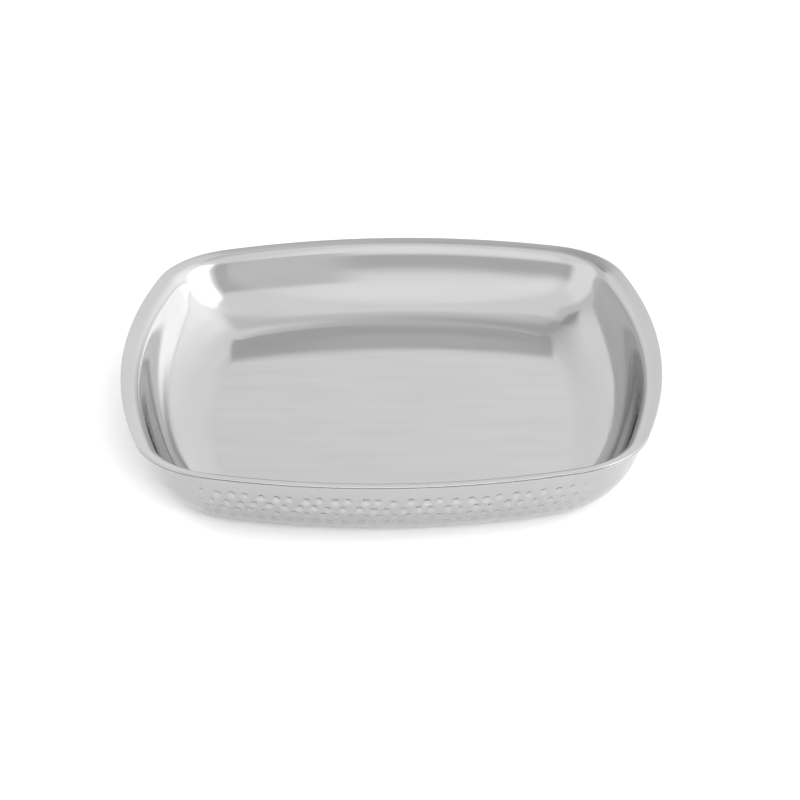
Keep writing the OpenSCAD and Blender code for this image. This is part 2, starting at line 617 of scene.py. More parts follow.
@dataclass
class MeshDraft:
    """Vertices and faces of a piece while it is built.

    Attributes:
        points: Places of the vertices.
        marks: Attributes of the vertices, in the order of the Mark options.
        faces: Vertices of each face.
        places: Map place of each corner of each face.
        count: Number of vertices so far.
    """

    points: list[np.ndarray] = field(default_factory=list)
    marks: list[np.ndarray] = field(default_factory=list)
    faces: list[tuple[int, ...]] = field(default_factory=list)
    places: list[tuple[float, float]] = field(default_factory=list)
    count: int = 0

    def ring(self, points: np.ndarray, columns: Columns, down: float,
             hammer: np.ndarray | float = 0.0) -> Ring:
        """Adds a closed row of vertices.

        Args:
            points: Their places.
            columns: The columns that they stand on.
            down: Distance of the row down its section.
            hammer: Share of the full depth that hammer marks have there.

        Returns:
            The row.
        """
        number = len(points)
        ids = np.arange(self.count, self.count + number)
        self.count += number
        self.points.append(points)
        depths = hammer * np.ones(number)
        self.marks.append(np.column_stack([columns.along[:-1], np.full(number, down), depths]))
        return Ring(ids, columns.along, down)

    def loft(self, plan: Plan, columns: Columns, section: np.ndarray, downs: np.ndarray,
             hammer: np.ndarray | float = 0.0) -> list[Ring]:
        """Adds the rows of a sheet through points of its section.

        Args:
            plan: Plan of the sheet.
            columns: The columns that the rows stand on.
            section: The points, as (-inset, height).
            downs: Distance of each row down the section.
            hammer: Share of the full depth that hammer marks have there.

        Returns:
            The rows.
        """
        return [self.ring(plan.ring(columns.headings, -point[0], point[1]), columns, float(down), hammer)
                for point, down in zip(section, downs)]

    def face(self, *corners: tuple[int, tuple[float, float]]) -> None:
        """Adds a face from its corners in turn."""
        self.faces.append(tuple(vertex for vertex, _ in corners))
        self.places.extend(place for _, place in corners)

    def bridge(self, first: Ring, second: Ring) -> None:
        """Joins two rows by quads, or by fans of triangles where one row has several times as many.

        Args:
            first: The row that comes first.
            second: The row that comes next.
        """
        turn = 1 if len(first.ids) > len(second.ids) else -1
        fine, coarse = (first, second)[::turn]
        share = len(fine.ids) // len(coarse.ids)
        for i in range(len(coarse.ids)):
            if share == 1:
                self.face(first.corner(i), first.corner(i + 1), second.corner(i + 1), second.corner(i))
                continue
            middle = i * share + share // 2
            for k in range(i * share, (i + 1) * share):
                near = coarse.corner(i if k < middle else i + 1)
                self.face(*(fine.corner(k), fine.corner(k + 1), near)[::turn])
            self.face(*(fine.corner(middle), coarse.corner(i + 1), coarse.corner(i))[::turn])

    def chain(self, rings: list[Ring]) -> None:
        """Joins rows in turn."""
        for first, second in zip(rings, rings[1:]):
            self.bridge(first, second)

    def fill(self, ring: Ring, upward: bool) -> None:
        """Fills a flat row that starts at a corner with a grid of quads blended from its four sides.

        Args:
            ring: The row, whose count divides by four.
            upward: Whether the faces look up.
        """
        edge = np.concatenate(self.points)[ring.ids]
        cells = len(edge) // 4
        parts = (slice(None, cells + 1), slice(2 * cells, cells - 1, -1),
                 slice(3 * cells, 2 * cells - 1, -1), slice(3 * cells, None))
        loop = np.append(ring.ids, ring.ids[0])
        right, top, left, bottom = (np.vstack([edge, edge[:1]])[part] for part in parts)
        over = np.linspace(0, 1, cells + 1)[:, None, None]
        up = np.linspace(0, 1, cells + 1)[None, :, None]
        ruled = (1 - up) * bottom[:, None] + up * top[:, None] + (1 - over) * left[None] + over * right[None]
        twice = ((1 - over) * (1 - up) * bottom[0] + over * (1 - up) * bottom[cells]
                 + (1 - over) * up * top[0] + over * up * top[cells])
        grid = ruled - twice
        ids = np.zeros((cells + 1, cells + 1), int)
        ids[cells, :], ids[:, cells], ids[0, :], ids[:, 0] = (loop[part] for part in parts)
        inner = grid[1:cells, 1:cells].reshape(-1, 3)
        ids[1:cells, 1:cells] = np.arange(self.count, self.count + len(inner)).reshape(cells - 1, cells - 1)
        self.count += len(inner)
        self.points.append(inner)
        self.marks.append(np.zeros((len(inner), len(Mark))))
        for i in range(cells):
            for j in range(cells):
                turn = [(i, j), (i + 1, j), (i + 1, j + 1), (i, j + 1)]
                corners = turn if upward else turn[::-1]
                self.face(*((int(ids[at]), (float(grid[at][0]), float(grid[at][1]))) for at in corners))

    def to_object(self, name: str) -> bpy.types.Object:
        """Makes the piece, smooth all over, with its map and its marks.

        Args:
            name: Name of the piece.

        Returns:
            The new object, at the origin.
        """
        mesh = bpy.data.meshes.new(name)
        mesh.from_pydata(np.concatenate(self.points).tolist(), [], self.faces)
        mesh.uv_layers.new(name=POLISH_MAP)
        mesh.uv_layers[POLISH_MAP].uv.foreach_set("vector", np.array(self.places, np.float32).ravel())
        for mark, values in zip(Mark, np.concatenate(self.marks).T):
            attribute = mesh.attributes.new(mark.value, "FLOAT", "POINT")
            attribute.data.foreach_set("value", values.astype(np.float32))
        mesh.shade_smooth()
        piece = bpy.data.objects.new(name, mesh)
        bpy.context.scene.collection.objects.link(piece)
        return piece


def place_piece(piece: bpy.types.Object, node: Node) -> None:
    """Hands a finished piece to the frame and reports it.

    Args:
        piece: The piece.
        node: CAD node that it stands for.
    """
    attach(piece, BODY)
    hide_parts(node.value)
    log.info("%s: %d vertices, %d faces", piece.name, len(piece.data.vertices), len(piece.data.polygons))


@dataclass(frozen=True)
class MetalSkin:
    """What every metal of the tray has: a colour and a relief that follow patterns.

    Attributes:
        name: Name of the material.
        low: Colour where the colour's pattern is 0.
        high: Colour where it is 1.
        depth: Height of the relief.
    """

    name: str
    low: str
    high: str
    depth: float

    def start(self) -> tuple[bpy.types.NodeTree, bpy.types.Node, bpy.types.Material]:
        """Starts the material.

        Returns:
            Its tree, its shader and the material.
        """
        material = bpy.data.materials.new(self.name)
        material.use_nodes = True
        shader = material.node_tree.nodes["Principled BSDF"]
        shader.inputs["Metallic"].default_value = 1.0
        return material.node_tree, shader, material

    def follow(self, shader: bpy.types.Node, shade: bpy.types.NodeSocket,
               relief: bpy.types.NodeSocket) -> None:
        """Links the colour and the relief to their patterns.

        Args:
            shader: Shader of the metal.
            shade: Pattern of the colour.
            relief: Pattern of the relief.
        """
        tree = shader.id_data
        colours = {"Factor": shade, "A_Color": linear(self.low), "B_Color": linear(self.high)}
        mix = add_node(tree, "ShaderNodeMix", colours, data_type="RGBA")
        tree.links.new(mix.outputs[2], shader.inputs["Base Color"])
        bump = add_node(tree, "ShaderNodeBump", {"Height": relief, "Strength": 1.0, "Distance": self.depth})
        tree.links.new(bump.outputs["Normal"], shader.inputs["Normal"])


@dataclass(frozen=True)
class PolishedStainless:
    """Stainless sheet, drawn and then polished on a wheel, to a mirror or to a satin.

    Attributes:
        name: Name of the material.
        shade: Colour where the polish is brightest.
        worn: Colour of the duller passes.
        roughness: Roughness from the brightest pass to the dullest.
        line: Width of one polishing line. Real ones are far finer, and are drawn as coarse as they need
            to show.
        line_length: Length of one polishing line.
        line_depth: Height of the lines.
        line_detail: Octaves of the lines' noise.
        wheel_pass: Width of one pass of the wheel.
        pass_detail: Octaves of the passes' noise.
        dull_to_bright: Sums of both noises at which the polish is dullest and brightest.
    """

    name: str = "polished_stainless_wheel_lines"
    shade: str = "#C4C4C4"
    worn: str = "#BEBEBE"
    roughness: tuple[float, float] = (0.07, 0.13)
    line: float = 0.9 * MM
    line_length: float = 60 * MM
    line_depth: float = 0.006 * MM
    line_detail: float = 2.0
    wheel_pass: float = 11 * MM
    pass_detail: float = 1.0
    dull_to_bright: tuple[float, float] = (0.6, 1.4)

    def material(self) -> bpy.types.Material:
        """Makes the material.

        Returns:
            The material, which reads the polish map of its piece.
        """
        # The wheel leaves lines and broad passes, so the eye sees a bright mirror that softens in streaks
        skin = MetalSkin(self.name, self.worn, self.shade, self.line_depth)
        tree, shader, material = skin.start()
        place = add_node(tree, "ShaderNodeUVMap", uv_map=POLISH_MAP).outputs["UV"]
        streaks = []
        for width, detail in ((self.line, self.line_detail), (self.wheel_pass, self.pass_detail)):
            scale = (1 / self.line_length, 1 / width, 1.0)
            drawn_out = add_node(tree, "ShaderNodeMapping", {"Vector": place, "Scale": scale}).outputs[0]
            pattern = {"Vector": drawn_out, "Scale": 1.0, "Detail": detail}
            noise = add_node(tree, "ShaderNodeTexNoise", pattern, noise_dimensions="2D")
            streaks.append(noise.outputs["Fac"])
        lines, passes = streaks
        both = add_node(tree, MATHS, {0: lines, 1: passes}, operation="ADD").outputs[0]
        dull, bright = self.dull_to_bright
        smooth, rough = self.roughness
        spread = {"From Min": dull, "From Max": bright, "To Min": rough, "To Max": smooth}
        softened = add_node(tree, "ShaderNodeMapRange", {"Value": both, **spread})
        tree.links.new(softened.outputs["Result"], shader.inputs["Roughness"])
        skin.follow(shader, passes, lines)
        return material


@dataclass(frozen=True)
class InnerTray:
    """Polished inner tray: one drawn sheet with its crowned rim, curved wall and flat floor.

    Attributes:
        sizes: Sizes of the tray.
        finish: Finish of the sheet.
        per_side: Columns on a side.
        per_corner: Columns on a corner.
        thinning: Columns of the shown face for each one of the hidden face and the floor.
        row: Longest row of the shown face.
        bend_step: Largest turn of such a row.
        hidden_row: Longest row of the hidden face.
        hidden_bend_step: Largest turn of such a row.
        edge_steps: Chords round the rounded edge of the rim.
    """

    sizes: TraySizes
    finish: PolishedStainless
    per_side: int = 144
    per_corner: int = 64
    thinning: int = 4
    row: float = 2 * MM
    bend_step: float = 2.5
    hidden_row: float = 8 * MM
    hidden_bend_step: float = 7.5
    edge_steps: int = 10

    def build(self) -> bpy.types.Object:
        """Builds the sheet as one closed mesh, from the hidden face over the edge to the floor.

        Returns:
            The piece, without a finish.
        """
        draft = MeshDraft()
        sizes, plan, line = self.sizes, self.sizes.tray_plan, self.sizes.tray_line
        fine = Columns.on(plan, self.per_side, self.per_corner)
        coarse = fine.thinned(self.thinning)
        shown = line.stations(self.row, self.bend_step)
        hidden = line.stations(self.hidden_row, self.hidden_bend_step)
        edge = line.rolled_edge(sizes.sheet, self.edge_steps)
        floor_edge = line.end - np.array([sizes.lap / 2, 0.0])
        under = draft.loft(plan, coarse, line.points(hidden, sizes.sheet), hidden)
        rolled = draft.loft(plan, fine, edge, np.zeros(len(edge)))
        over = draft.loft(plan, fine, line.points(shown), shown)
        floor = draft.loft(plan, coarse, floor_edge[None], np.array([line.length]))
        draft.chain(under[::-1] + rolled + over + floor)
        draft.fill(floor[0], upward=True)
        draft.fill(under[-1], upward=False)
        return draft.to_object("inner_tray_polished")

    def dress(self, piece: bpy.types.Object) -> None:
        """Gives the sheet its finish and hands it over."""
        piece.data.materials.append(self.finish.material())
        place_piece(piece, Node.INNER_TRAY)


@dataclass(frozen=True)
class HammerMarks:
    """Round hammer marks in staggered rows, pressed into a sheet by a Geometry Nodes tree.

    Attributes:
        pitch: Distance between marks in a row.
        row_gap: Distance between rows.
        rows: Number of rows.
        first_row: Distance of the first row down the section.
        radius: Radius of a mark.
        depth: Depth of a mark.
        scatter: Farthest that a mark is off its place, each way.
        roundness: Power of the bowl, 1 for a ball's print with a hard edge and 2 for a soft one.
        spread: Share by which the marks differ in size.
        seed: Seed of the scatter.
    """

    pitch: float = 8.2 * MM
    row_gap: float = 6.6 * MM
    rows: int = 4
    first_row: float = 13.2 * MM
    radius: float = 3.4 * MM
    depth: float = 1.15 * MM
    scatter: float = 1.0 * MM
    roundness: float = 1.8
    spread: float = 0.2
    seed: int = 11

    def press(self, piece: bpy.types.Object, way_round: float, material: bpy.types.Material) -> None:
        """Presses the marks into a piece and leaves it a plain mesh.

        Args:
            piece: Piece that carries the mark attributes.
            way_round: Distance round the plan, along which the rows run.
            material: Finish of the piece.
        """
        inputs = {
            "Pitch": ("NodeSocketFloat", self.pitch),
            "Row gap": ("NodeSocketFloat", self.row_gap),
            "Marks in a row": ("NodeSocketInt", math.floor(way_round / self.pitch)),
            "Rows": ("NodeSocketInt", self.rows),
            "First row": ("NodeSocketFloat", self.first_row),
            "Radius": ("NodeSocketFloat", self.radius),
            "Depth": ("NodeSocketFloat", self.depth),
            "Scatter": ("NodeSocketFloat", self.scatter),
            "Roundness": ("NodeSocketFloat", self.roundness),
            "Spread": ("NodeSocketFloat", self.spread),
            "Seed": ("NodeSocketInt", self.seed),
            "Finish": ("NodeSocketMaterial", material),
        }
        tree = self._tree({name: kind for name, (kind, _) in inputs.items()})
        modifier = piece.modifiers.new("hammer_marks", "NODES")
        modifier.node_group = tree
        for item in tree.interface.items_tree:
            if item.name in inputs:
                modifier[item.identifier] = inputs[item.name][1]
        seen = piece.evaluated_get(bpy.context.evaluated_depsgraph_get())
        marked = bpy.data.meshes.new_from_object(seen)
        piece.modifiers.remove(modifier)
        piece.data = marked
        marked.name = piece.name

    def _tree(self, kinds: dict[str, str]) -> bpy.types.NodeTree:
        """Builds the tree: points on the map of the sheet, and dents where a vertex is near one.

        Args:
            kinds: Socket type of each input.

        Returns:
            The tree.
        """
        tree = bpy.data.node_groups.new("hammer_marks", "GeometryNodeTree")
        for name, kind in {"Geometry": "NodeSocketGeometry", **kinds}.items():
            tree.interface.new_socket(name, in_out="INPUT", socket_type=kind)
        tree.interface.new_socket("Geometry", in_out="OUTPUT", socket_type="NodeSocketGeometry")
        known = {socket.name: socket for socket in add_node(tree, "NodeGroupInput").outputs}
        # Each step: the name of its result, the kind of node, the output, the inputs and the settings.
        # An input that has the name of an earlier result is linked to it.
        steps = (
            # Row and column of each mark, with every other row set over by half a pitch
            ("index", "GeometryNodeInputIndex", 0, {}, {}),
            ("turns", MATHS, 0, {0: "index", 1: "Marks in a row"}, {"operation": "DIVIDE"}),
            ("row", MATHS, 0, {0: "turns"}, {"operation": "FLOOR"}),
            ("column", MATHS, 0, {0: "index", 1: "Marks in a row"}, {"operation": "MODULO"}),
            ("odd row", MATHS, 0, {0: "row", 1: 2.0}, {"operation": "MODULO"}),
            ("stagger", MATHS, 0, {0: "odd row", 1: 0.5}, {"operation": "MULTIPLY"}),
            ("step", MATHS, 0, {0: "column", 1: "stagger"}, {"operation": "ADD"}),
            ("even along", MATHS, 0, {0: "step", 1: "Pitch"}, {"operation": "MULTIPLY"}),
            ("rows down", MATHS, 0, {0: "row", 1: "Row gap"}, {"operation": "MULTIPLY"}),
            ("even down", MATHS, 0, {0: "rows down", 1: "First row"}, {"operation": "ADD"}),
            # Scatter of the marks about those places
            ("back", MATHS, 0, {0: "Scatter", 1: -1.0}, {"operation": "MULTIPLY"}),
            ("next seed", MATHS, 0, {0: "Seed", 1: 1.0}, {"operation": "ADD"}),
            ("off along", RANDOM, 1, {"Min_001": "back", "Max_001": "Scatter", "Seed": "Seed"}, {}),
            ("off down", RANDOM, 1, {"Min_001": "back", "Max_001": "Scatter", "Seed": "next seed"}, {}),
            ("mark along", MATHS, 0, {0: "even along", 1: "off along"}, {"operation": "ADD"}),
            ("mark down", MATHS, 0, {0: "even down", 1: "off down"}, {"operation": "ADD"}),
            ("mark place", "ShaderNodeCombineXYZ", 0, {0: "mark along", 1: "mark down"}, {}),
            ("count", MATHS, 0, {0: "Marks in a row", 1: "Rows"}, {"operation": "MULTIPLY"}),
            ("marks", "GeometryNodePoints", 0, {"Count": "count", "Position": "mark place"}, {}),
            # Distance of each vertex from the mark nearest to it, as a share of that mark's radius
            ("own along", CARRIED, "Attribute", {"Name": Mark.ALONG.value}, {"data_type": "FLOAT"}),
            ("own down", CARRIED, "Attribute", {"Name": Mark.DOWN.value}, {"data_type": "FLOAT"}),
            ("own share", CARRIED, "Attribute", {"Name": Mark.HAMMER.value}, {"data_type": "FLOAT"}),
            ("own place", "ShaderNodeCombineXYZ", 0, {0: "own along", 1: "own down"}, {}),
            ("distance", "GeometryNodeProximity", "Distance",
             {"Geometry": "marks", "Sample Position": "own place"}, {"target_element": "POINTS"}),
            ("nearest", "GeometryNodeSampleNearest", "Index",
             {"Geometry": "marks", "Sample Position": "own place"}, {}),
            ("least size", MATHS, 0, {0: 1.0, 1: "Spread"}, {"operation": "SUBTRACT"}),
            ("size", RANDOM, 1,
             {"Min_001": "least size", "Max_001": 1.0, "ID": "nearest", "Seed": "Seed"}, {}),
            ("reach", MATHS, 0, {0: "Radius", 1: "size"}, {"operation": "MULTIPLY"}),
            ("way out", MATHS, 0, {0: "distance", 1: "reach"}, {"operation": "DIVIDE"}),
            # Bowl of that mark, which fades where the sheet is hammered less
            ("squared", MATHS, 0, {0: "way out", 1: "way out"}, {"operation": "MULTIPLY"}),
            ("below 1", MATHS, 0, {0: 1.0, 1: "squared"}, {"operation": "SUBTRACT"}),
            ("inside", MATHS, 0, {0: "below 1", 1: 0.0}, {"operation": "MAXIMUM"}),
            ("bowl", MATHS, 0, {0: "inside", 1: "Roundness"}, {"operation": "POWER"}),
            ("full depth", MATHS, 0, {0: "Depth", 1: "size"}, {"operation": "MULTIPLY"}),
            ("deep", MATHS, 0, {0: "bowl", 1: "full depth"}, {"operation": "MULTIPLY"}),
            ("faded", MATHS, 0, {0: "deep", 1: "own share"}, {"operation": "MULTIPLY"}),
            ("dent", MATHS, 0, {0: "faded", 1: -1.0}, {"operation": "MULTIPLY"}),
            ("normal", "GeometryNodeInputNormal", "Normal", {}, {}),
            ("push", "ShaderNodeVectorMath", 0, {0: "normal", "Scale": "dent"}, {"operation": "SCALE"}),
            ("dented", "GeometryNodeSetPosition", 0, {"Geometry": "Geometry", "Offset": "push"}, {}),
            ("plain", "GeometryNodeRealizeInstances", 0, {"Geometry": "dented"}, {}),
            ("dressed", "GeometryNodeSetMaterial", 0, {"Geometry": "plain", "Material": "Finish"}, {}),
        )
        for result, kind, output, inputs, settings in steps:
            terms = {key: known.get(value, value) for key, value in inputs.items()}
            known[result] = add_node(tree, kind, terms, **settings).outputs[output]
        add_node(tree, "NodeGroupOutput", {"Geometry": known["dressed"]})
        return tree


@dataclass(frozen=True)
class OuterShell:
    """Hammered outer shell: one drawn sheet with its flange, wall, foot band and recessed base.

    Attributes:
        sizes: Sizes of the tray.
        finish: Finish of the sheet.
        marks: Hammer marks on its sides.
        per_side: Columns on a side of the hammered band.
        per_corner: Columns on a corner of that band.
        thinning: Columns of that band for each one elsewhere, and of those for each one round the vent.
        band: Distances down the wall at which the finely cut band starts and ends.
        row: Longest row of that band.
        fade: Distances from the middle of a side at which the marks start to fade and end.
        coarse_row: Longest row elsewhere.
        bend_step: Largest turn of such a row.
        edge_steps: Chords round the rounded edge of the flange.
    """

    sizes: TraySizes
    finish: PolishedStainless
    marks: HammerMarks
    per_side: int = 288
    per_corner: int = 64
    thinning: int = 4
    band: tuple[float, float] = (8 * MM, 39 * MM)
    row: float = 0.7 * MM
    fade: tuple[float, float] = (104 * MM, 118 * MM)
    coarse_row: float = 6 * MM
    bend_step: float = 6.0
    edge_steps: int = 8

    def build(self) -> bpy.types.Object:
        """Builds the sheet as one closed mesh, round its section from the vent and back to it.

        Returns:
            The piece, without its hammer marks and its finish.
        """
        draft = MeshDraft()
        sizes, plan, recess = self.sizes, self.sizes.shell_plan, self.sizes.recess_plan
        line, step = sizes.shell_line, sizes.recess_line
        fine = Columns.on(plan, self.per_side, self.per_corner)
        coarse = fine.thinned(self.thinning)
        hub = coarse.thinned(self.thinning)
        sides = smooth_step(fine.off_middle(), self.fade[1], self.fade[0])
        start, end = self.band
        cuts = line.stations(self.coarse_row, self.bend_step)
        above, below = cuts[cuts < start], cuts[cuts > end]
        band = np.linspace(start, end, math.ceil((end - start) / self.row) + 1)
        step_cuts = step.stations(self.coarse_row, self.bend_step)
        downs = line.length + step_cuts
        edge = line.rolled_edge(-sizes.sheet, self.edge_steps)
        # The hidden face stands clear of the dents
        behind = -sizes.sheet - self.marks.depth * ((cuts > start) & (cuts < end))

        outside = draft.loft(recess, coarse, step.points(step_cuts), downs)
        low = draft.loft(plan, coarse, line.points(below), below)
        wall = draft.loft(plan, fine, line.points(band), band, sides)
        high = draft.loft(plan, coarse, line.points(above), above)
        rolled = draft.loft(plan, coarse, edge, np.zeros(len(edge)))
        within = draft.loft(plan, coarse, line.points(cuts, behind), cuts)
        inside = draft.loft(recess, coarse, step.points(step_cuts, -sizes.sheet), downs)
        vent = [draft.ring(circle(hub.headings, sizes.vent_radius, height), hub, 0.0)
                for height in (sizes.panel_rise, sizes.panel_rise + sizes.sheet)]
        outer = outside[::-1] + low[::-1] + wall[::-1] + high[::-1]
        inner = rolled[::-1] + within + inside
        draft.chain(vent[:1] + outer + inner + vent[::-1])
        return draft.to_object("outer_shell_hammered")

    def dress(self, piece: bpy.types.Object) -> None:
        """Presses the hammer marks, gives the sheet its finish and hands it over.

        Args:
            piece: The sheet.
        """
        way_round = Columns.on(self.sizes.shell_plan, self.per_side, self.per_corner).along[-1]
        self.marks.press(piece, float(way_round), self.finish.material())
        piece.data.set_sharp_from_angle(angle=SHARP_EDGE)
        place_piece(piece, Node.OUTER_SHELL)


@dataclass(frozen=True)
class WeldMetal:
    """Seam weld, left as it cooled.

    Attributes:
        name: Name of the material.
        bright: Colour of the bare bead.
        oxide: Colour of the heat tint in its hollows.
        roughness: Roughness of the bead.
        ripple: Width of one ripple of the weld pool.
        ripple_depth: Height of a ripple.
        ripple_detail: Octaves of the ripples' noise.
    """

    name: str = "weld_metal_as_cooled"
    bright: str = "#CCCCCA"
    oxide: str = "#A6A5A3"
    roughness: float = 0.42
    ripple: float = 0.8 * MM
    ripple_depth: float = 0.05 * MM
    ripple_detail: float = 2.0

    def material(self) -> bpy.types.Material:
        """Makes the material.

        Returns:
            The material, on the piece's own coordinates.
        """
        # The pool freezes in ripples under a thin oxide, so the eye sees a dull bead beside bright sheet
        skin = MetalSkin(self.name, self.oxide, self.bright, self.ripple_depth)
        tree, shader, material = skin.start()
        shader.inputs["Roughness"].default_value = self.roughness
        place = add_node(tree, "ShaderNodeTexCoord").outputs["Object"]
        pattern = {"Vector": place, "Scale": 1 / self.ripple, "Detail": self.ripple_detail}
        ripples = add_node(tree, "ShaderNodeTexNoise", pattern).outputs["Fac"]
        skin.follow(shader, ripples, ripples)
        return material


@dataclass(frozen=True)
class RimWeld:
    """Weld bead that closes the joint between the rim and the flange all round.

    Attributes:
        sizes: Sizes of the tray.
        finish: Finish of the bead.
        per_side: Columns on a side.
        per_corner: Columns on a corner.
        crown: Height of the crown of the bead.
        crown_steps: Chords over that crown.
    """

    sizes: TraySizes
    finish: WeldMetal
    per_side: int = 96
    per_corner: int = 32
    crown: float = 0.4 * MM
    crown_steps: int = 6

    def build(self) -> bpy.types.Object:
        """Builds the bead as one closed ring with a rounded outer face.

        Returns:
            The piece, without a finish.
        """
        draft = MeshDraft()
        sizes, plan = self.sizes, self.sizes.rim_plan
        columns = Columns.on(plan, self.per_side, self.per_corner)
        along = sizes.down_rim
        across = np.array([-along[1], along[0]])
        outer = sizes.below_rim(sizes.sheet, 2 * sizes.seam_set_back) + across * sizes.seam / 2
        turns = np.pi * np.arange(self.crown_steps + 1)[:, None] / self.crown_steps
        crown = outer - sizes.seam / 2 * np.cos(turns) * across - self.crown * np.sin(turns) * along
        back = crown[[-1, 0]] + along * sizes.seam_width
        section = np.vstack([crown, back])
        rings = draft.loft(plan, columns, section, np.arange(len(section)) * sizes.seam)
        draft.chain((rings + rings[:1])[::-1])
        return draft.to_object("rim_weld_bead")

    def dress(self, piece: bpy.types.Object) -> None:
        """Gives the bead its finish and hands it over."""
        piece.data.materials.append(self.finish.material())
        place_piece(piece, Node.RIM_WELD)


@dataclass(frozen=True)
class TurnedStainless:
    """Stainless bar, turned on a lathe.

    Attributes:
        name: Name of the material.
        bright: Colour of the ridges.
        dark: Colour of the grooves.
        roughness: Roughness of the turned face.
        feed: Distance between tool lines. Real ones are finer, and are drawn as coarse as they need to show.
        groove: Depth of the lines.
        wobble: Unevenness of the lines.
    """

    name: str = "turned_stainless_satin"
    bright: str = "#BDBDBB"
    dark: str = "#9C9C9A"
    roughness: float = 0.3
    feed: float = 0.35 * MM
    groove: float = 0.01 * MM
    wobble: float = 0.3

    def material(self) -> bpy.types.Material:
        """Makes the material.

        Returns:
            The material, on the piece's own coordinates.
        """
        # The tool leaves rings round the middle, so the eye sees a satin face with fine circles
        skin = MetalSkin(self.name, self.dark, self.bright, self.groove)
        tree, shader, material = skin.start()
        shader.inputs["Roughness"].default_value = self.roughness
        place = add_node(tree, "ShaderNodeTexCoord").outputs["Object"]
        pattern = {"Vector": place, "Scale": WAVE_LENGTH / self.feed, "Distortion": self.wobble}
        wave = add_node(tree, "ShaderNodeTexWave", pattern, wave_type="RINGS", rings_direction="Z")
        skin.follow(shader, wave.outputs["Fac"], wave.outputs["Fac"])
        return material


@dataclass(frozen=True)
class VentPlug:
    """Plug that closes the vent in the base panel.

    Attributes:
        sizes: Sizes of the tray.
        finish: Finish of the plug.
        sides: Columns round the plug.
        chamfer: Chamfer on its edges.
    """

    sizes: TraySizes
    finish: TurnedStainless
    sides: int = 64
    chamfer: float = 0.15 * MM

    def build(self) -> bpy.types.Object:
        """Turns the outline of the plug about its axis, from the middle of its head to the end of its shank.

        Returns:
            The piece, without a finish.
        """
        sizes, cut = self.sizes, self.chamfer
        head, shank = sizes.plug_head_radius, sizes.vent_radius - sizes.vent_clearance
        low = sizes.panel_rise - sizes.plug_head
        top = sizes.panel_rise + sizes.sheet + sizes.plug_reach
        outline = [(head - cut, low), (head, low + cut), (head, sizes.panel_rise), (shank, sizes.panel_rise),
                   (shank, top - cut), (shank - cut, top)]
        turns = 2 * np.pi * np.arange(self.sides) / self.sides
        columns = Columns(turns, np.append(turns, 2 * np.pi) * head)
        draft = MeshDraft()
        rings = [draft.ring(circle(turns, radius, height), columns, down * cut)
                 for down, (radius, height) in enumerate(outline)]
        draft.chain(rings)
        draft.fill(rings[0], upward=False)
        draft.fill(rings[-1], upward=True)
        return draft.to_object("vent_plug_turned")

    def dress(self, piece: bpy.types.Object) -> None:
        """Gives the plug its finish and hands it over.

        Args:
            piece: The plug.
        """
        piece.data.materials.append(self.finish.material())
        piece.data.set_sharp_from_angle(angle=SHARP_EDGE)
        place_piece(piece, Node.VENT_PLUG)


@dataclass(frozen=True)
class SoftPanel:
    """Soft-edged panel of the studio, as the tray sees it.

    Attributes:
        azimuth: Direction of its middle, clockwise from straight behind the tray.
        elevation: Height of its middle above the table.
        half_width: Half of the angle that it spans sideways.
        half_height: Half of the angle that it spans upwards.
        softness: Angle over which its edges fade.
        level: Brightness, where a white card in plain light has 1.
    """

    azimuth: float
    elevation: float
    half_width: float
    half_height: float
    softness: float
    level: float


@dataclass(frozen=True)
class FloorFill:
    """Soft light for the floor alone, which the steel sees only in what the floor sends back.

    Attributes:
        power: Power, in watts.
        size: Width.
        place: Place of its middle.
        aim: Point of the floor that it faces.
    """

    power: float
    size: float
    place: tuple[float, float, float]
    aim: tuple[float, float, float] = (0.0, 0.0, 0.0)

    def build(self) -> None:
        """Hangs the light."""
        light = bpy.data.lights.new("floor_fill", "AREA")
        light.energy = self.power
        light.size = self.size
        lamp = bpy.data.objects.new("floor_fill", light)
        lamp.location = self.place
        lamp.rotation_euler = (Vector(self.place) - Vector(self.aim)).to_track_quat("Z", "Y").to_euler()
        lamp.visible_glossy = False
        lamp.visible_camera = False
        bpy.context.scene.collection.objects.link(lamp)


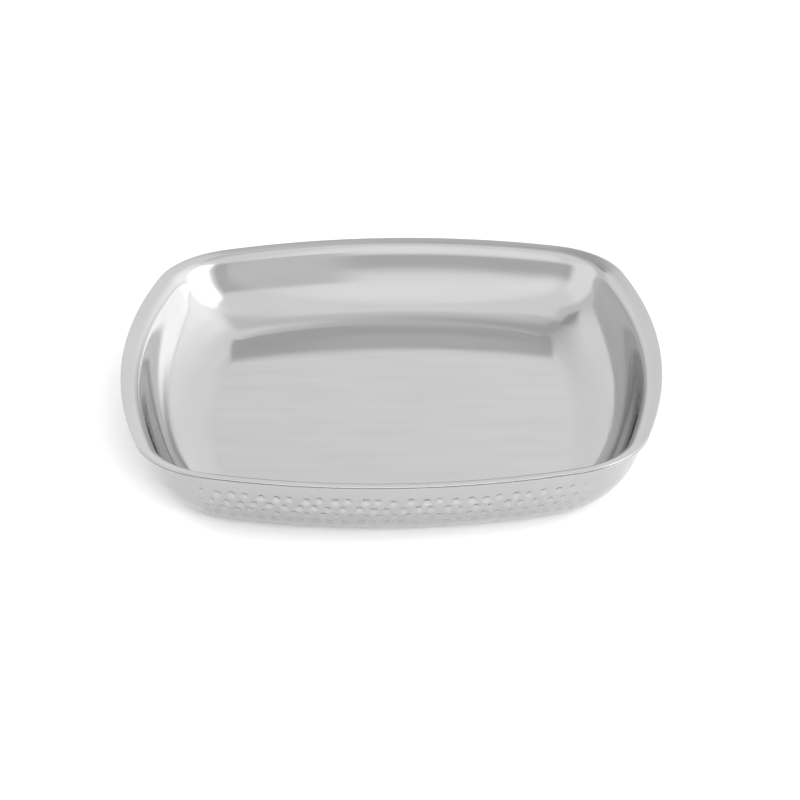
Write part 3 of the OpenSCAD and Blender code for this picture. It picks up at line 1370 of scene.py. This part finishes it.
@dataclass(frozen=True)
class Studio:
    """White tent with soft panels, and a pale floor.

    Attributes:
        tent: Brightness of the white walls.
        panels: Lights and darker gaps in the tent, later ones over earlier ones.
        fills: Lights that fill the floor in front of the tray and to the left of it.
        floor_colour: Colour of the floor.
        floor_roughness: Roughness of the floor.
        floor_radius: Radius of the floor.
        floor_sides: Sides of the floor.
        floor_drop: Distance of the floor below the foot of the tray.
    """

    tent: float = 1.12
    panels: tuple[SoftPanel, ...] = (
        SoftPanel(-168, 62, 24, 14, 24, 1.28),
        SoftPanel(-165, 0, 42, 14, 20, 0.70),
        SoftPanel(152, 20, 16, 22, 8, 0.90),
        SoftPanel(137, 22, 6, 20, 10, 0.74),
        SoftPanel(-92, 15, 16, 18, 18, 1.26),
        SoftPanel(-60, 26, 6, 30, 12, 0.92),
        SoftPanel(0, 0, 70, 4, 8, 0.85),
        SoftPanel(-14, 24, 6, 8, 16, 1.04),
        SoftPanel(5, 68, 60, 3, 9, 0.90),
        SoftPanel(-24, 50, 18, 7, 15, 0.63),
        SoftPanel(-46, 41, 4, 4, 6, 0.52),
        SoftPanel(68, 26, 10, 8, 40, 1.60),
        SoftPanel(98, 18, 10, 24, 16, 3.00),
    )
    fills: tuple[FloorFill, ...] = (
        FloorFill(7.7, 0.45, (0.15, -0.75, 0.25)),
        FloorFill(0.42, 0.25, (-0.45, 0.04, 0.35), (-0.3, 0.04, 0.0)),
    )
    floor_colour: str = "#F6F6F6"
    floor_roughness: float = 0.9
    floor_radius: float = 4.0
    floor_sides: int = 96
    floor_drop: float = 0.1 * MM

    def build(self) -> None:
        """Builds the floor, the lights on it and the world round it."""
        self._floor()
        for fill in self.fills:
            fill.build()
        self._world()

    def _floor(self) -> None:
        """Lays a plain, pale, matt floor."""
        turns = 2 * np.pi * np.arange(self.floor_sides) / self.floor_sides
        points = circle(turns, self.floor_radius, -self.floor_drop)
        mesh = bpy.data.meshes.new("studio_floor")
        mesh.from_pydata(points.tolist(), [], [tuple(range(self.floor_sides))])
        floor = bpy.data.objects.new("studio_floor", mesh)
        bpy.context.scene.collection.objects.link(floor)
        material = bpy.data.materials.new("matt_white_floor")
        material.use_nodes = True
        shader = material.node_tree.nodes["Principled BSDF"]
        shader.inputs["Base Color"].default_value = linear(self.floor_colour)
        shader.inputs["Roughness"].default_value = self.floor_roughness
        shader.inputs["Specular IOR Level"].default_value = 0.0
        mesh.materials.append(material)

    def _world(self) -> None:
        """Lights the tent: each panel is mixed over the walls by how far a direction lies within it."""
        world = bpy.data.worlds.new("white_tent")
        world.use_nodes = True
        tree = world.node_tree
        tree.nodes.clear()
        direction = add_node(tree, "ShaderNodeTexCoord").outputs["Generated"]
        up = add_node(tree, "ShaderNodeSeparateXYZ", {0: direction}).outputs["Z"]
        elevation = add_node(tree, MATHS, {0: up}, operation="ARCSINE").outputs[0]
        level: bpy.types.NodeSocket | float = self.tent
        for panel in self.panels:
            spin = {"Vector": direction, "Angle": math.radians(panel.azimuth)}
            turned = add_node(tree, "ShaderNodeVectorRotate", spin, rotation_type="Z_AXIS").outputs[0]
            parts = add_node(tree, "ShaderNodeSeparateXYZ", {0: turned}).outputs
            aside = add_node(tree, MATHS, {0: parts["X"], 1: parts["Y"]}, operation="ARCTAN2")
            rise = math.radians(panel.elevation)
            above = add_node(tree, MATHS, {0: elevation, 1: rise}, operation="SUBTRACT")
            within = []
            for angle, half in ((aside, panel.half_width), (above, panel.half_height)):
                off = add_node(tree, MATHS, {0: angle.outputs[0]}, operation="ABSOLUTE").outputs[0]
                fade = {"Value": off, "From Min": math.radians(half),
                        "From Max": math.radians(half + panel.softness), "To Min": 1.0, "To Max": 0.0}
                near = add_node(tree, "ShaderNodeMapRange", fade, interpolation_type="SMOOTHSTEP")
                within.append(near.outputs["Result"])
            share = add_node(tree, MATHS, dict(enumerate(within)), operation="MULTIPLY").outputs[0]
            over = {"Factor": share, "A": level, "B": panel.level}
            level = add_node(tree, "ShaderNodeMix", over).outputs[0]
        light = add_node(tree, "ShaderNodeBackground", {"Color": (1.0, 1.0, 1.0, 1.0), "Strength": level})
        add_node(tree, "ShaderNodeOutputWorld", {"Surface": light.outputs[0]})
        bpy.context.scene.world = world


@dataclass(frozen=True)
class PhotoCamera:
    """Camera at the photograph's viewpoint, aimed so that the tray lies where the photograph has it.

    Attributes:
        target: Middle of the rim.
        distance: Distance from it.
        elevation: Height of the view above the table.
        azimuth: Turn of the view from straight on.
        roll: Turn of the picture.
        focal_px: Focal length, in pixels of the picture.
        target_px: Place of the middle of the rim in the picture.
    """

    target: Vector
    distance: float = 1.6697
    elevation: float = 27.43
    azimuth: float = -0.23
    roll: float = -0.82
    focal_px: float = 2943.5
    target_px: tuple[float, float] = (391.25, 352.28)

    def build(self) -> None:
        """Sets the scene's camera."""
        rise, turn, roll = (math.radians(angle) for angle in (self.elevation, self.azimuth, self.roll))
        back = Vector((-math.sin(turn) * math.cos(rise), -math.cos(turn) * math.cos(rise), math.sin(rise)))
        level = Vector((math.cos(turn), -math.sin(turn), 0.0))
        upright = back.cross(level)
        right = level * math.cos(roll) + upright * math.sin(roll)
        up = upright * math.cos(roll) - level * math.sin(roll)
        metres_per_px = self.distance / self.focal_px
        aim = self.target - right * (self.target_px[0] - IMAGE_PX / 2) * metres_per_px
        aim += up * (self.target_px[1] - IMAGE_PX / 2) * metres_per_px
        place = self.target + back * self.distance
        back = (place - aim).normalized()
        right = up.cross(back).normalized()
        up = back.cross(right)
        data = bpy.data.cameras.new("photo_camera")
        data.sensor_width = SENSOR_WIDTH_MM
        data.lens = self.focal_px / IMAGE_PX * SENSOR_WIDTH_MM
        camera = bpy.data.objects.new("photo_camera", data)
        camera.matrix_world = Matrix.Translation(place) @ Matrix((right, up, back)).transposed().to_4x4()
        bpy.context.scene.collection.objects.link(camera)
        bpy.context.scene.camera = camera


def main() -> None:
    """Builds the camera, the studio and each piece of the tray in turn."""
    logging.basicConfig(level=logging.INFO, format="%(message)s")
    bpy.context.scene.view_settings.view_transform = "Standard"
    sizes = TraySizes()
    PhotoCamera(target=Vector((0.0, 0.0, sizes.height))).build()
    Studio().build()
    # Over its hammer marks the shell is polished to a satin only, so it looks greyer and softer than the tray
    hammered = PolishedStainless(
        name="hammered_stainless_satin",
        shade="#ADADAD",
        worn="#A9A9A9",
        roughness=(0.15, 0.21),
    )
    for maker in (InnerTray(sizes, PolishedStainless()), OuterShell(sizes, hammered, HammerMarks()),
                  RimWeld(sizes, WeldMetal()), VentPlug(sizes, TurnedStainless())):
        maker.dress(maker.build())


if __name__ == "__main__":
    main()
